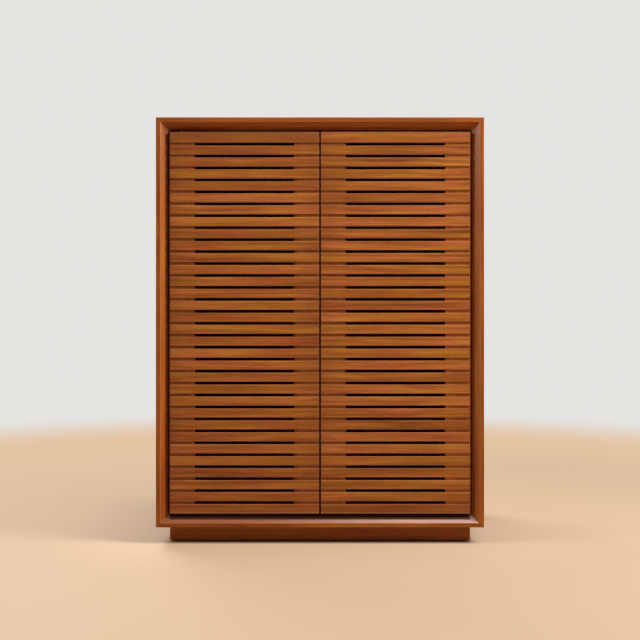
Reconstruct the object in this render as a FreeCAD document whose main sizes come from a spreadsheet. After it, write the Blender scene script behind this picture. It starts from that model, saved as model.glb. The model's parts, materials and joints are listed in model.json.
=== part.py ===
import FreeCAD, Part
import os
import re
import Sketcher

# A free-standing storage cabinet: a mitred case with a bevelled front frame on a set-back plinth,
# and two inset doors faced with horizontal slats. All lengths are in millimetres.
# X points right, Y to the back and Z up. The origin is on the floor, under the middle of the case.

sizes = {
    # case
    "case_width": "914",
    "case_height": "1142",
    "case_depth": "457",
    "panel_thickness": "32",
    "front_edge": "12",
    "bevel_depth": "20",
    "edge_ease": "1",
    "spline_width": "20",
    "spline_thickness": "4",
    "spline_stop": "60",
    "glue_gap": "0.1",
    # back panel
    "back_thickness": "6",
    "back_recess": "4",
    "back_lap": "14",
    "back_clearance": "1",
    "back_screw_rows": "4",
    "back_screw_columns": "3",
    # plinth
    "plinth_height": "42",
    "plinth_inset": "34",
    "plinth_thickness": "22",
    "block_side": "60",
    "plinth_screw_inset": "44",
    "plinth_screw_length": "60",
    "glide_height": "4",
    "glide_radius": "14",
    "glide_inset": "20",
    "glide_stem_radius": "3",
    "glide_stem_length": "14",
    # doors
    "door_recess": "8",
    "side_gap": "5",
    "top_gap": "7",
    "bottom_gap": "5",
    "meeting_gap": "4",
    "slat_count": "32",
    "slat_gap": "8.6",
    "slat_thickness": "12",
    "slat_lap": "4",
    "slat_ease": "1.5",
    "top_slat_extra": "4.6",
    "bottom_slat_extra": "1.2",
    "stile_width": "70",
    "rail_height": "26",
    "frame_thickness": "24",
    "tenon_length": "12",
    "tenon_thickness": "8",
    "tenon_shoulder": "6",
    # pivots
    "pivot_depth": "17",
    "swing_clearance": "0.5",
    "plate_length": "56",
    "plate_width": "9",
    "plate_thickness": "3",
    "plate_corner": "3",
    "plate_clearance": "0.2",
    "plate_screw_spacing": "32",
    "pivot_pin_radius": "2.5",
    "pivot_pin_play": "0.05",
    "pivot_pin_end_play": "0.5",
    "washer_radius": "4.5",
    "washer_play": "0.1",
    # screws
    "screw_radius": "1.75",
    "screw_head_radius": "3.5",
    "screw_length": "18",
    "hole_clearance": "0.05",
    # shelves
    "shelf_thickness": "20",
    "shelf_front_clearance": "10",
    "shelf_back_clearance": "2",
    "shelf_end_clearance": "2",
    "shelf_pin_radius": "2.5",
    "shelf_pin_reach": "10",
    "shelf_pin_depth": "10",
    "shelf_pin_inset": "40",
    "shelf_pin_collar_radius": "4.5",
    "shelf_pin_collar": "1.2",
    "shelf_pin_hole_spacing": "32",
    # push latches
    "latch_width": "16",
    "latch_length": "62",
    "latch_wall": "8",
    "latch_flange_width": "38",
    "latch_flange_thickness": "3",
    "latch_screw_spacing": "27",
    "plunger_radius": "4",
    "plunger_play": "0.08",
    "plunger_tip_radius": "5",
    "plunger_tip_length": "4",
    "plunger_reach": "8",
    "plunger_length": "46",
    "plunger_travel": "3",
    "plunger_end_room": "2",
    "strike_drop": "12",
    "strike_radius": "8",
    "strike_thickness": "1.5",
    "strike_gap": "0.3",
}

doc = FreeCAD.newDocument("SlattedCabinet")
sheet = doc.addObject("Spreadsheet::Sheet", "Sizes")
for row, (alias, value) in enumerate(sizes.items(), start=1):
    sheet.set(f"A{row}", alias)
    sheet.set(f"B{row}", value)
    sheet.setAlias(f"B{row}", alias)
doc.recompute()

# Planes and places that several pieces share, as formulas of the sizes.
front = "(-case_depth / 2)"
back = "(case_depth / 2)"
outer_side = "(-case_width / 2)"
inner_side = f"({outer_side} + panel_thickness)"
case_bottom = "(glide_height + plinth_height)"
case_top = f"({case_bottom} + case_height)"
inner_bottom = f"({case_bottom} + panel_thickness)"
inner_top = f"({case_top} - panel_thickness)"
inner_height = "(case_height - 2 * panel_thickness)"
back_face = f"({back} - back_recess - back_thickness)"

door_front = f"({front} + door_recess)"
slat_back = f"({door_front} + slat_thickness)"
frame_front = f"({door_front} + slat_lap)"
frame_back = f"({frame_front} + frame_thickness)"
door_bottom = f"({inner_bottom} + bottom_gap)"
door_top = f"({inner_top} - top_gap)"
hinge_edge = f"({inner_side} + side_gap)"
meeting_edge = "(-meeting_gap / 2)"
hinge_stile_edge = f"({hinge_edge} + stile_width)"
meeting_stile_edge = f"({meeting_edge} - stile_width)"
slat_room = f"({door_top} - {door_bottom} - top_slat_extra - bottom_slat_extra)"
slat_height = f"(({slat_room} + slat_gap) / slat_count - slat_gap)"
slat_pitch = f"({slat_height} + slat_gap)"

# The pivot stands just far enough in from the hinge edge for the door's front corner to swing
# through the side gap.
swing_room = "(side_gap - swing_clearance)"
pivot_inset = f"((pivot_depth ^ 2 - {swing_room} ^ 2) / (2 * {swing_room}))"
pivot_x = f"({hinge_edge} + {pivot_inset})"
pivot_y = f"({door_front} + pivot_depth)"
swing_back = f"sqrt({pivot_inset} ^ 2 + (slat_lap + frame_thickness - pivot_depth) ^ 2)"

shelf_front = f"({pivot_y} + {swing_back} + shelf_front_clearance)"
shelf_back = f"({back_face} - shelf_back_clearance)"
shelf_space = f"(({inner_height} - 3 * shelf_thickness) / 4)"

latch_x = f"({meeting_edge} - stile_width / 2)"
latch_z = f"({door_top} - strike_drop)"
strike_face = f"({frame_back} + strike_thickness)"
plunger_tip = f"({strike_face} + strike_gap)"
latch_front = f"({plunger_tip} + plunger_reach)"

turns = {
    "up": FreeCAD.Rotation(),
    "down": FreeCAD.Rotation(FreeCAD.Vector(1, 0, 0), 180),
    "front": FreeCAD.Rotation(FreeCAD.Vector(1, 0, 0), 90),
    "back": FreeCAD.Rotation(FreeCAD.Vector(1, 0, 0), -90),
    "left": FreeCAD.Rotation(FreeCAD.Vector(0, 1, 0), -90),
}

pieces = []
pockets = []


def linked(formula):
    # Size names in a formula become references to the sheet's cells.
    return re.sub(r"[a-z_]+", lambda word: f"Sizes.{word[0]}" if word[0] in sizes else word[0], formula)


def bind(item, formulas):
    for name, formula in formulas.items():
        item.setExpression(name, linked(formula))


def count(name):
    return int(sheet.get(name))


def slab(name, x_span, y_span, z_span):
    # A rectangular block between two planes on each axis.
    block = doc.addObject("Part::Box", name)
    spans = zip(("Length", "Width", "Height"), "xyz", (x_span, y_span, z_span))
    for side, axis, (low, high) in spans:
        bind(block, {side: f"({high}) - ({low})", f"Placement.Base.{axis}": low})
    return block


def aim(item, start, direction):
    item.Placement = FreeCAD.Placement(FreeCAD.Vector(), turns[direction])
    bind(item, {f"Placement.Base.{axis}": formula for axis, formula in zip("xyz", start)})
    return item


def rod(name, start, direction, radius, length):
    cylinder = doc.addObject("Part::Cylinder", name)
    bind(cylinder, {"Radius": radius, "Height": length})
    return aim(cylinder, start, direction)


def joined(name, *items):
    union = doc.addObject("Part::MultiFuse", name)
    union.Shapes = list(items)
    union.Refine = True
    return union


def group(name, *items):
    compound = doc.addObject("Part::Compound", name)
    compound.Links = list(items)
    return compound


def carved(name, base, *tools):
    cut = doc.addObject("Part::Cut", name)
    cut.Base = base
    cut.Tool = tools[0] if len(tools) == 1 else joined(f"{name}_cuts", *tools)
    return cut


def mirrored(name, source):
    # The same piece on the other side of the cabinet's middle plane.
    copy = doc.addObject("Part::Mirroring", name)
    copy.Source = source
    copy.Normal = FreeCAD.Vector(1, 0, 0)
    return copy


def both_sides(name, left_piece):
    return group(name, left_piece, mirrored(f"{name}_right", left_piece))


def screw(name, start, direction, length, grow="0"):
    # A countersunk screw whose head is flush at its start, or with grow the hole that it needs.
    head = doc.addObject("Part::Cone", f"{name}_head")
    bind(head, {
        "Radius1": f"screw_head_radius + {grow}",
        "Radius2": f"screw_radius + {grow}",
        "Height": "screw_head_radius - screw_radius",
    })
    aim(head, start, direction)
    shank = rod(f"{name}_shank", start, direction, f"screw_radius + {grow}", f"{length} + {grow}")
    return joined(name, head, shank)


def screw_set(name, places, direction, length):
    # The screws at several places as one group, and the holes that they need as another.
    screws = [screw(f"{name}_{i}", place, direction, length) for i, place in enumerate(places)]
    holes = [
        screw(f"{name}_hole_{i}", place, direction, length, "hole_clearance")
        for i, place in enumerate(places)
    ]
    return group(f"{name}_screws", *screws), group(f"{name}_holes", *holes)


def keep(*items):
    pieces.extend(items)


def origin_part(body, role):
    return [item for item in body.Origin.OriginFeatures if item.Role == role][0]


def drawn(body, role, name, loops, offset="0"):
    # A sketch of closed outlines, with each corner tied to its two formulas.
    sketch = body.newObject("Sketcher::SketchObject", name)
    sketch.AttachmentSupport = [(origin_part(body, role), "")]
    sketch.MapMode = "FlatFace"
    bind(sketch, {"AttachmentOffset.Base.z": offset})
    for corners in loops:
        starts = [[sheet.evalExpression(formula) for formula in corner] for corner in corners]
        points = [FreeCAD.Vector(*start) for start in starts]
        lines = [Part.LineSegment(start, end) for start, end in zip(points, points[1:] + points[:1])]
        first = sketch.addGeometry(lines)[0]
        for i, corner in enumerate(corners):
            line = first + i
            following = first + (i + 1) % len(corners)
            sketch.addConstraint(Sketcher.Constraint("Coincident", line, 2, following, 1))
            for kind, formula, value in zip(("DistanceX", "DistanceY"), corner, points[i]):
                index = sketch.addConstraint(Sketcher.Constraint(kind, -1, 1, line, 1, value))
                bind(sketch, {f"Constraints[{index}]": formula})
    return sketch


def padded(body, name, sketch, length):
    pad = body.newObject("PartDesign::Pad", name)
    pad.Profile = sketch
    pad.SideType = "Symmetric"
    bind(pad, {"Length": length})
    return pad


def board_section(outer, inward):
    # The section of a case board: eased front corner, flat front edge, bevel, inner face and back rabbet.
    inner = f"{outer} {inward} panel_thickness"
    rabbet = f"{outer} {inward} (panel_thickness - back_lap)"
    eased = f"{outer} {inward} edge_ease"
    return [
        (f"{front} + edge_ease", outer),
        (front, eased),
        (front, f"{outer} {inward} front_edge"),
        (f"{front} + bevel_depth", inner),
        (back_face, inner),
        (back_face, rabbet),
        (back, rabbet),
        (back, eased),
        (f"{back} - edge_ease", outer),
    ]


def mitre_cut(x, x_inward, z, z_inward, level):
    # What is cut off a board's end at one case corner: past the mitre, with the outer tip eased.
    # A level board keeps the horizontal side of the mitre and an upright one the vertical side.
    ease_x, ease_z = ("edge_ease", "0") if level else ("0", "edge_ease")
    deep_x, deep_z = ("0", "panel_thickness") if level else ("panel_thickness", "0")
    return [
        (f"{x} {x_inward} {ease_x}", f"{z} {z_inward} {ease_z}"),
        (f"{x} {x_inward} edge_ease / 2", f"{z} {z_inward} edge_ease / 2"),
        (f"{x} {x_inward} panel_thickness", f"{z} {z_inward} panel_thickness"),
        (f"{x} {x_inward} {deep_x}", f"{z} {z_inward} {deep_z}"),
        (x, z),
    ]


def mitred_board(name, role, section, offset, length, cuts):
    # The moulded section run to full length, then both ends cut to their mitres.
    body = doc.addObject("PartDesign::Body", f"{name}_board")
    run = padded(body, f"{name}_run", drawn(body, role, f"{name}_section", [section], offset), length)
    pocket = body.newObject("PartDesign::Pocket", f"{name}_mitres")
    pocket.Profile = drawn(body, "XZ_Plane", f"{name}_ends", cuts)
    pocket.Type = "ThroughAll"
    pocket.SideType = "Symmetric"
    pockets.append((run, pocket))
    return body


def spline(name, z, z_inward, grow="0"):
    # A flat strip across the mitre of one left-hand corner, at 45 degrees, stopped short of both ends.
    strip = doc.addObject("Part::Box", name)
    width = f"(spline_width + 2 * {grow})"
    thickness = f"(spline_thickness + 2 * {grow})"
    run = f"(case_depth - 2 * spline_stop + 2 * {grow})"
    angle = -45 if z_inward == "-" else 45
    strip.Placement = FreeCAD.Placement(FreeCAD.Vector(), FreeCAD.Rotation(FreeCAD.Vector(0, 1, 0), angle))
    across = f"({width} {z_inward} {thickness}) / 2 * sqrt(0.5)"
    upright = f"({thickness} {'+' if z_inward == '-' else '-'} {width}) / 2 * sqrt(0.5)"
    bind(strip, {
        "Length": width,
        "Width": run,
        "Height": thickness,
        "Placement.Base.x": f"{outer_side} + panel_thickness / 2 - {across}",
        "Placement.Base.y": f"-{run} / 2",
        "Placement.Base.z": f"{z} {z_inward} panel_thickness / 2 - {upright}",
    })
    return strip


def rising(face, height, upward):
    # The span from a face to a height above or below it, lowest first.
    return (face, f"{face} + {height}") if upward else (f"{face} - {height}", face)


def centred(middle, length):
    return (f"{middle} - ({length}) / 2", f"{middle} + ({length}) / 2")


# Pivots: at each end of a door, one plate let into the case and one into the door, a pin that is fixed
# in the case plate and turns in the door plate, and a washer that fills the gap between them.


def pivot_plate(name, face, upward, holes):
    plate = slab(
        f"{name}_blank",
        centred(pivot_x, "plate_length"),
        centred(pivot_y, "plate_width"),
        rising(face, "plate_thickness", upward),
    )
    rounded = doc.addObject("Part::Fillet", f"{name}_rounded")
    rounded.Base = plate
    radius = sheet.get("plate_corner")
    upright_edges = (1, 3, 5, 7)
    rounded.Edges = [(edge, radius, radius) for edge in upright_edges]
    pin_hole = rod(
        f"{name}_pin_hole",
        (pivot_x, pivot_y, rising(face, "plate_thickness", upward)[0]),
        "up",
        "pivot_pin_radius + pivot_pin_play",
        "plate_thickness",
    )
    return carved(name, rounded, pin_hole, holes)


def plate_mortise(name, face, upward):
    return slab(
        name,
        centred(pivot_x, "plate_length + 2 * plate_clearance"),
        centred(pivot_y, "plate_width + 2 * plate_clearance"),
        rising(face, "plate_thickness", upward),
    )


def plate_screw_places(face):
    return [(f"{pivot_x} {side} plate_screw_spacing / 2", pivot_y, face) for side in "-+"]


def pivot(end, case_face, door_face, gap, at_top):
    # Everything at one end of the left door. The case is beyond the door, upwards at the top.
    inwards = "up" if at_top else "down"
    outwards = "down" if at_top else "up"
    case_places = plate_screw_places(case_face)
    case_screws, case_holes = screw_set(f"{end}_case", case_places, inwards, "screw_length")
    door_places = plate_screw_places(door_face)
    door_screws, door_holes = screw_set(f"{end}_door", door_places, outwards, "screw_length")
    case_plate = pivot_plate(f"left_{end}_pivot_case_plate", case_face, at_top, case_holes)
    door_plate = pivot_plate(f"left_{end}_pivot_door_plate", door_face, not at_top, door_holes)
    pin_span = f"2 * plate_thickness + {gap} - pivot_pin_end_play"
    pin_start = rising(case_face, "plate_thickness", at_top)[1 if at_top else 0]
    pin = rod(f"{end}_pin", (pivot_x, pivot_y, pin_start), outwards, "pivot_pin_radius", pin_span)
    washer_start = (pivot_x, pivot_y, case_face)
    disc = rod(f"{end}_disc", washer_start, outwards, "washer_radius", f"{gap} - washer_play")
    eye = rod(f"{end}_eye", washer_start, outwards, "pivot_pin_radius + pivot_pin_play", gap)
    case_mortise = plate_mortise(f"{end}_case_mortise", case_face, at_top)
    door_mortise = plate_mortise(f"{end}_door_mortise", door_face, not at_top)
    return {
        "case_plate": case_plate,
        "door_plate": door_plate,
        "pin": pin,
        "washer": carved(f"{end}_washer", disc, eye),
        "case_screws": case_screws,
        "door_screws": door_screws,
        "case_cut": joined(f"{end}_case_cut", case_mortise, case_holes),
        "door_cut": joined(f"{end}_door_cut", door_mortise, door_holes),
    }


top_pivot = pivot("top", inner_top, door_top, "top_gap", True)
bottom_pivot = pivot("bottom", inner_bottom, door_bottom, "bottom_gap", False)

for end, parts in (("top", top_pivot), ("bottom", bottom_pivot)):
    for plate in ("case", "door"):
        keep(parts[f"{plate}_plate"])
        keep(mirrored(f"right_{end}_pivot_{plate}_plate", parts[f"{plate}_plate"]))


def pivot_pair(name, part):
    return group(name, top_pivot[part], bottom_pivot[part])


left_pivot_pins = pivot_pair("left_pivot_pins", "pin")
left_washers = pivot_pair("left_washers", "washer")
left_case_screws = pivot_pair("left_case_screws", "case_screws")
left_door_pivot_screws = pivot_pair("left_door_pivot_screws", "door_screws")
keep(left_pivot_pins, mirrored("right_pivot_pins", left_pivot_pins))
keep(both_sides("pivot_washers", left_washers))
keep(both_sides("case_pivot_screws", left_case_screws))
keep(left_door_pivot_screws, mirrored("right_door_pivot_screws", left_door_pivot_screws))

# Push latches: a housing under the case top behind each meeting stile, a sliding plunger in it and a
# strike plate on the door.
strike_place = (latch_x, strike_face, latch_z)
strike_screw, strike_hole = screw_set("strike", [strike_place], "front", "screw_length")
strike_disc = rod("strike_disc", strike_place, "front", "strike_radius", "strike_thickness")
left_strike_plate = carved("left_strike_plate", strike_disc, strike_hole)
left_strike_screw = group("left_strike_screw", strike_screw)

latch_face = f"({inner_top} - latch_flange_thickness)"
latch_screw_places = [
    (f"{latch_x} {side} latch_screw_spacing / 2", f"{latch_front} + latch_length / 2", latch_face)
    for side in "-+"
]
left_latch_screws, latch_holes = screw_set("left_latch", latch_screw_places, "up", "screw_length")
latch_run = (latch_front, f"{latch_front} + latch_length")
latch_block = slab(
    "latch_block",
    centred(latch_x, "latch_width"),
    latch_run,
    (f"{latch_z} - latch_wall", inner_top),
)
latch_flange = slab(
    "latch_flange",
    centred(latch_x, "latch_flange_width"),
    latch_run,
    (latch_face, inner_top),
)
plunger_bore = rod(
    "plunger_bore",
    (latch_x, latch_front, latch_z),
    "back",
    "plunger_radius + plunger_play",
    "plunger_length - plunger_reach + plunger_travel + plunger_end_room",
)
left_latch_housing = carved(
    "left_latch_housing",
    joined("latch_shell", latch_block, latch_flange),
    plunger_bore,
    latch_holes,
)
plunger_start = (latch_x, plunger_tip, latch_z)
plunger_rod = rod("plunger_rod", plunger_start, "back", "plunger_radius", "plunger_length")
plunger_cap = rod("plunger_cap", plunger_start, "back", "plunger_tip_radius", "plunger_tip_length")
left_latch_plunger = joined("left_latch_plunger", plunger_rod, plunger_cap)
keep(left_latch_housing, mirrored("right_latch_housing", left_latch_housing))
keep(left_latch_plunger, mirrored("right_latch_plunger", left_latch_plunger))
keep(both_sides("latch_screws", left_latch_screws))
keep(left_strike_plate, mirrored("right_strike_plate", left_strike_plate))
keep(left_strike_screw, mirrored("right_strike_screw", left_strike_screw))

# Back panel, let into the rabbets of the four case boards and screwed to them from behind.
back_edge = "(back_lap - back_clearance)"
back_outer = f"({inner_side} - {back_edge})"
back_blank = slab(
    "back_blank",
    (back_outer, f"-{back_outer}"),
    (back_face, f"{back_face} + back_thickness"),
    (f"{inner_bottom} - {back_edge}", f"{inner_top} + {back_edge}"),
)
back_screw_face = f"({back_face} + back_thickness)"
side_screw_x = f"({inner_side} - {back_edge} / 2)"
row_spacing = f"({inner_height} / back_screw_rows)"
rows = [f"{inner_bottom} + {row_spacing} * {i + 0.5}" for i in range(count("back_screw_rows"))]
side_places = [(side_screw_x, back_screw_face, z) for z in rows]
column_spacing = f"(-2 * {inner_side} / back_screw_columns)"
columns = [f"{inner_side} + {column_spacing} * {i + 0.5}" for i in range(count("back_screw_columns"))]
top_places = [(x, back_screw_face, f"{inner_top} + {back_edge} / 2") for x in columns]
bottom_places = [(x, back_screw_face, f"{inner_bottom} - {back_edge} / 2") for x in columns]
side_back_screws, side_back_holes = screw_set("side_back", side_places, "front", "screw_length")
top_back_screws, top_back_holes = screw_set("top_back", top_places, "front", "screw_length")
bottom_back_screws, bottom_back_holes = screw_set("bottom_back", bottom_places, "front", "screw_length")
all_side_back_holes = both_sides("all_side_back_holes", side_back_holes)
keep(carved("back_panel", back_blank, all_side_back_holes, top_back_holes, bottom_back_holes))
all_side_back_screws = both_sides("all_side_back_screws", side_back_screws)
keep(group("back_panel_screws", all_side_back_screws, top_back_screws, bottom_back_screws))

# Plinth: four rails, a block in each corner, a screw up through each block and a glide under it.
plinth_side = f"({outer_side} + plinth_inset)"
plinth_front = f"({front} + plinth_inset)"
plinth_rise = ("glide_height", case_bottom)
plinth_run = (plinth_side, f"-{plinth_side}")
block_x = f"({plinth_side} + plinth_thickness)"
block_y = f"({plinth_front} + plinth_thickness)"
keep(slab("plinth_front_rail", plinth_run, (plinth_front, block_y), plinth_rise))
keep(slab("plinth_back_rail", plinth_run, (f"-{block_y}", f"-{plinth_front}"), plinth_rise))
plinth_left_rail = slab("plinth_left_rail", (plinth_side, block_x), (block_y, f"-{block_y}"), plinth_rise)
keep(plinth_left_rail, mirrored("plinth_right_rail", plinth_left_rail))

left_blocks = []
left_glides = []
plinth_screw_places = []
for depth, corner_y, step in (("front", block_y, "+"), ("back", f"-{block_y}", "-")):
    reach = f"{corner_y} {step} block_side"
    y_span = (corner_y, reach) if step == "+" else (reach, corner_y)
    block = slab(f"{depth}_block", (block_x, f"{block_x} + block_side"), y_span, plinth_rise)
    glide_place = (f"{block_x} + glide_inset", f"{corner_y} {step} glide_inset")
    pad = rod(f"{depth}_pad", (*glide_place, "0"), "up", "glide_radius", "glide_height")
    stem_start = (*glide_place, "glide_height")
    stem = rod(f"{depth}_stem", stem_start, "up", "glide_stem_radius", "glide_stem_length")
    stem_hole = rod(
        f"{depth}_stem_hole",
        stem_start,
        "up",
        "glide_stem_radius + hole_clearance",
        "glide_stem_length + hole_clearance",
    )
    place = (f"{block_x} + plinth_screw_inset", f"{corner_y} {step} plinth_screw_inset", "glide_height")
    plinth_screw_places.append(place)
    left_blocks.append((block, stem_hole))
    left_glides.append(joined(f"{depth}_glide", pad, stem))
left_plinth_screws, left_plinth_holes = screw_set(
    "left_plinth",
    plinth_screw_places,
    "up",
    "plinth_screw_length",
)
left_corner_blocks = [
    carved(f"{block.Name}_bored", block, stem_hole, left_plinth_holes) for block, stem_hole in left_blocks
]
keep(both_sides("plinth_corner_blocks", group("left_corner_blocks", *left_corner_blocks)))
keep(both_sides("plinth_screws", left_plinth_screws))
keep(both_sides("floor_glides", group("left_glides", *left_glides)))

# Shelves on pins. Each shelf has a pin hole above and below the ones in use, to move it.
left_shelf_pins = []
shelf_pin_holes = []
shelf_end = f"({inner_side} + shelf_end_clearance)"
shelf_pin_columns = (f"{shelf_front} + shelf_pin_inset", f"{shelf_back} - shelf_pin_inset")
for level, shelf_name in enumerate(("lower_shelf", "middle_shelf", "upper_shelf"), start=1):
    underside = f"({inner_bottom} + {level} * {shelf_space} + {level - 1} * shelf_thickness)"
    keep(slab(
        shelf_name,
        (shelf_end, f"-{shelf_end}"),
        (shelf_front, shelf_back),
        (underside, f"{underside} + shelf_thickness"),
    ))
    pin_z = f"({underside} - shelf_pin_radius - hole_clearance)"
    for column, pin_y in zip(("front", "back"), shelf_pin_columns):
        name = f"{shelf_name}_{column}"
        pin_start = (f"{inner_side} + shelf_pin_reach", pin_y, pin_z)
        length = "shelf_pin_reach + shelf_pin_depth"
        pin = rod(f"{name}_pin", pin_start, "left", "shelf_pin_radius", length)
        collar_start = (f"{inner_side} + shelf_pin_collar", pin_y, pin_z)
        collar = rod(f"{name}_collar", collar_start, "left", "shelf_pin_collar_radius", "shelf_pin_collar")
        left_shelf_pins.append(joined(f"{name}_collared_pin", pin, collar))
        for row, step in (("low", -1), ("used", 0), ("high", 1)):
            shelf_pin_holes.append(rod(
                f"{name}_{row}_hole",
                (inner_side, pin_y, f"{pin_z} + {step} * shelf_pin_hole_spacing"),
                "left",
                "shelf_pin_radius + hole_clearance",
                "shelf_pin_depth + hole_clearance",
            ))
keep(both_sides("shelf_pins", group("left_shelf_pins", *left_shelf_pins)))

# Case boards, with splines across the mitres.
corners = (("top", case_top, "-"), ("bottom", case_bottom, "+"))
left_splines = [spline(f"{name}_spline", z, inward) for name, z, inward in corners]
keep(both_sides("mitre_splines", group("left_splines", *left_splines)))
grooves = [spline(f"{name}_groove", z, inward, "glue_gap") for name, z, inward in corners]


def level_board(name, z, inward, *cuts):
    # The top or bottom of the case, with its profile along the whole width.
    ends = [mitre_cut(outer_side, "+", z, inward, True), mitre_cut(f"-{outer_side}", "-", z, inward, True)]
    board = mitred_board(name, "YZ_Plane", board_section(z, inward), "0", "case_width", ends)
    return carved(name, board, *cuts)


top_groove = both_sides("top_grooves", grooves[0])
bottom_groove = both_sides("bottom_grooves", grooves[1])
top_pivot_cuts = both_sides("top_pivot_cuts", top_pivot["case_cut"])
bottom_pivot_cuts = both_sides("bottom_pivot_cuts", bottom_pivot["case_cut"])
latch_cuts = both_sides("latch_cuts", latch_holes)
plinth_cuts = both_sides("plinth_cuts", left_plinth_holes)
top_cuts = (top_groove, top_pivot_cuts, latch_cuts, top_back_holes)
bottom_cuts = (bottom_groove, bottom_pivot_cuts, plinth_cuts, bottom_back_holes)
keep(level_board("top_panel", case_top, "-", *top_cuts))
keep(level_board("bottom_panel", case_bottom, "+", *bottom_cuts))

side_section = [(x, y) for y, x in board_section(outer_side, "+")]
side_ends = [mitre_cut(outer_side, "+", z, inward, False) for name, z, inward in corners]
side_middle = f"{case_bottom} + case_height / 2"
left_board = mitred_board("left_side", "XY_Plane", side_section, side_middle, "case_height", side_ends)
left_side = carved("left_side", left_board, *grooves, side_back_holes, group("pin_holes", *shelf_pin_holes))
keep(left_side, mirrored("right_side", left_side))

# Door frames: stiles with the rails tenoned between them, the rails set back behind the slats.
stile_depth = (frame_front, frame_back)
rail_depth = (slat_back, frame_back)
rail_middle = f"(({slat_back} + {frame_back}) / 2)"
door_rise = (door_bottom, door_top)


def tenon(name, rail_bottom, grow="0"):
    # One bar through a rail's whole length, which stands out at both ends as its tenons.
    return slab(
        name,
        (f"{hinge_stile_edge} - tenon_length - {grow}", f"{meeting_stile_edge} + tenon_length + {grow}"),
        centred(rail_middle, f"tenon_thickness + 2 * {grow}"),
        (
            f"{rail_bottom} + tenon_shoulder - {grow}",
            f"{rail_bottom} + rail_height - tenon_shoulder + {grow}",
        ),
    )


door_cuts = (top_pivot["door_cut"], bottom_pivot["door_cut"])
mortises = []
for end, rail_bottom in (("top", f"({door_top} - rail_height)"), ("bottom", door_bottom)):
    name = f"left_door_{end}_rail"
    rail = slab(
        f"{name}_blank",
        (hinge_stile_edge, meeting_stile_edge),
        rail_depth,
        (rail_bottom, f"{rail_bottom} + rail_height"),
    )
    tenoned = joined(f"{name}_tenoned", rail, tenon(f"{name}_tenons", rail_bottom))
    finished_rail = carved(name, tenoned, *door_cuts)
    keep(finished_rail, mirrored(f"right_door_{end}_rail", finished_rail))
    mortises.append(tenon(f"{end}_mortise", rail_bottom, "glue_gap"))

hinge_stile = slab("hinge_stile_blank", (hinge_edge, hinge_stile_edge), stile_depth, door_rise)
left_hinge_stile = carved("left_door_hinge_stile", hinge_stile, *mortises, *door_cuts)
meeting_stile = slab("meeting_stile_blank", (meeting_stile_edge, meeting_edge), stile_depth, door_rise)
left_meeting_stile = carved("left_door_meeting_stile", meeting_stile, *mortises, strike_hole)
keep(left_hinge_stile, mirrored("right_door_hinge_stile", left_hinge_stile))
keep(left_meeting_stile, mirrored("right_door_meeting_stile", left_meeting_stile))

# Slats over the door's whole width: thick between the stiles, with thinner ends that lap over them, and
# with rounded front edges. The top and bottom slats are a little taller than the rest.
slat_shoulders = (f"{hinge_stile_edge} + glue_gap", f"{meeting_stile_edge} - glue_gap")
slat_outline = [
    (hinge_edge, door_front),
    (meeting_edge, door_front),
    (meeting_edge, frame_front),
    (slat_shoulders[1], frame_front),
    (slat_shoulders[1], slat_back),
    (slat_shoulders[0], slat_back),
    (slat_shoulders[0], frame_front),
    (hinge_edge, frame_front),
]


def slat(name, bottom, height):
    body = doc.addObject("PartDesign::Body", f"{name}_body")
    sketch = drawn(body, "XY_Plane", f"{name}_outline", [slat_outline], f"{bottom} + ({height}) / 2")
    blank = padded(body, f"{name}_blank", sketch, height)
    doc.recompute()
    faces = blank.Shape.Faces
    front_face = min(range(len(faces)), key=lambda i: faces[i].CenterOfGravity.y)
    rounded = body.newObject("PartDesign::Fillet", f"{name}_rounded")
    rounded.Base = (blank, [f"Face{front_face + 1}"])
    bind(rounded, {"Radius": "slat_ease"})
    body.Tip = rounded
    doc.recompute()
    return body


bottom_slat = slat("bottom_slat", door_bottom, f"{slat_height} + bottom_slat_extra")
top_slat = slat("top_slat", f"{door_top} - {slat_height} - top_slat_extra", f"{slat_height} + top_slat_extra")
inner_slats = slat("inner_slat", f"{door_bottom} + bottom_slat_extra + {slat_pitch}", slat_height)
slat_rows = inner_slats.newObject("PartDesign::LinearPattern", "slat_rows")
slat_rows.TransformMode = "Whole shape"
slat_rows.Direction = (origin_part(inner_slats, "Z_Axis"), [""])
bind(slat_rows, {"Occurrences": "slat_count - 2", "Length": f"{slat_pitch} * (slat_count - 3)"})
inner_slats.Tip = slat_rows
all_slats = group("left_slats", bottom_slat, inner_slats, top_slat)
left_slats = carved("left_door_slats", all_slats, *door_cuts)
keep(left_slats, mirrored("right_door_slats", left_slats))

doc.recompute()
for item in doc.Objects:
    if "Invalid" in item.State or "Error" in item.State:
        raise RuntimeError(f"{item.Label} failed: {item.State}")
for run, pocket in pockets:
    if pocket.Shape.Volume >= run.Shape.Volume:
        raise RuntimeError(f"{pocket.Label} cuts nothing")
for piece in pieces:
    if piece.Shape.isNull() or not piece.Shape.isValid() or not piece.Shape.Solids:
        raise RuntimeError(f"{piece.Label} has no valid solid")

os.makedirs("parts", exist_ok=True)
for piece in pieces:
    piece.Shape.exportStep(f"parts/{piece.Label}.step")
print(f"{len(pieces)} pieces, {sum(len(piece.Shape.Solids) for piece in pieces)} solids")
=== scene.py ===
import json
import math

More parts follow.
